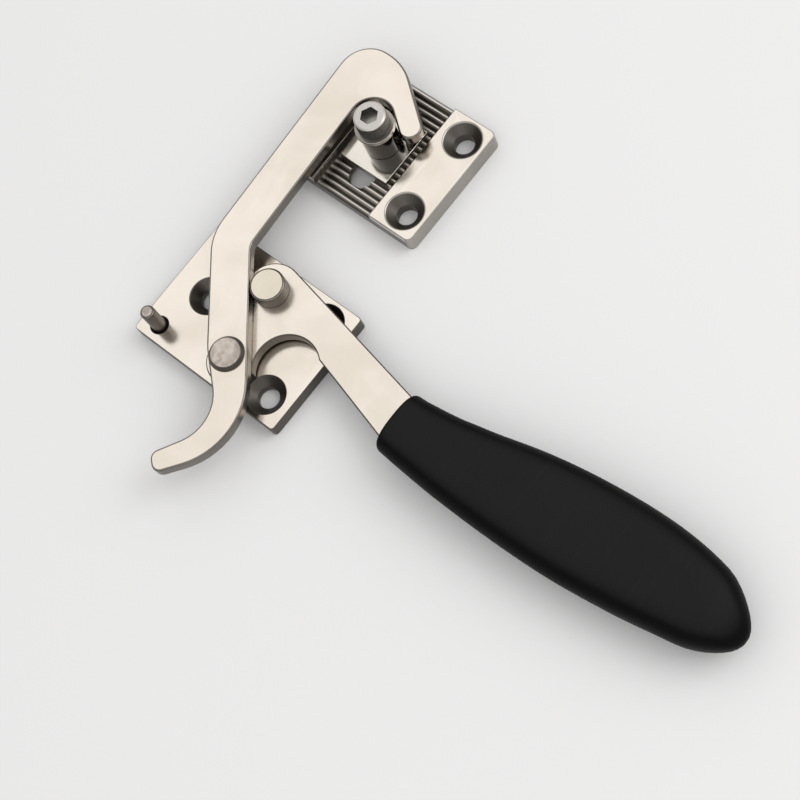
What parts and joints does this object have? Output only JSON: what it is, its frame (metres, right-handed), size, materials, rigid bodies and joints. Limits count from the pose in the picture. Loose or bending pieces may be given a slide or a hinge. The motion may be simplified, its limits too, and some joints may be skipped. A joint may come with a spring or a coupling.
{
  "type": "cabinet handle latch",
  "caption": "Over-centre steel latch for a cabinet door: a handle lever draws a cranked hook arm onto a roller on a serrated, adjustable strike plate.",
  "frame": {"origin": "lever pivot axis where it meets the mounting plane", "axes": "+X along the closed handle, +Y in the pull direction from the latch to the strike, +Z out of the door"},
  "size_m": [0.2041, 0.1422, 0.024],
  "materials": {
    "plate_steel": "satin polished stainless steel",
    "pin_steel": "turned stainless steel",
    "polished_steel": "mirror polished stainless steel",
    "screw_steel": "matt stainless steel",
    "grip_plastic": "satin black moulding"
  },
  "bodies": {
    "mounted": {"base_plate": "plate_steel", "stop_pin": "pin_steel", "pivot_pin": "pin_steel", "lever_washer": "pin_steel", "strike_plate": "plate_steel", "strike_block": "polished_steel", "roller_bush": "pin_steel", "screw_washer": "polished_steel", "cap_screw": "screw_steel", "slide_nut": "screw_steel"},
    "lever": {"handle_lever": "plate_steel", "grip": "grip_plastic", "hook_pin": "pin_steel"},
    "hook": {"hook_arm": "plate_steel"},
    "roller": {"roller": "polished_steel"}
  },
  "joints": [
    {"name": "lever_turn", "type": "hinge", "parent": "mounted", "child": "lever", "pos_m": [0, 0, 0], "axis": [0, 0, 1], "range_deg": [-80, 0]},
    {"name": "hook_swing", "type": "hinge", "parent": "lever", "child": "hook", "pos_m": [0.0039, -0.0234, 0], "axis": [0, 0, 1], "range_deg": [0, 58]},
    {"name": "roller_spin", "type": "hinge", "parent": "mounted", "child": "roller", "pos_m": [-0.0044, 0.0571, 0], "axis": [0, 0, 1], "continuous": true}
  ],
  "couplings": [
    {"joint": "hook_swing", "follows": "lever_turn", "ratio": -0.72}
  ]
}
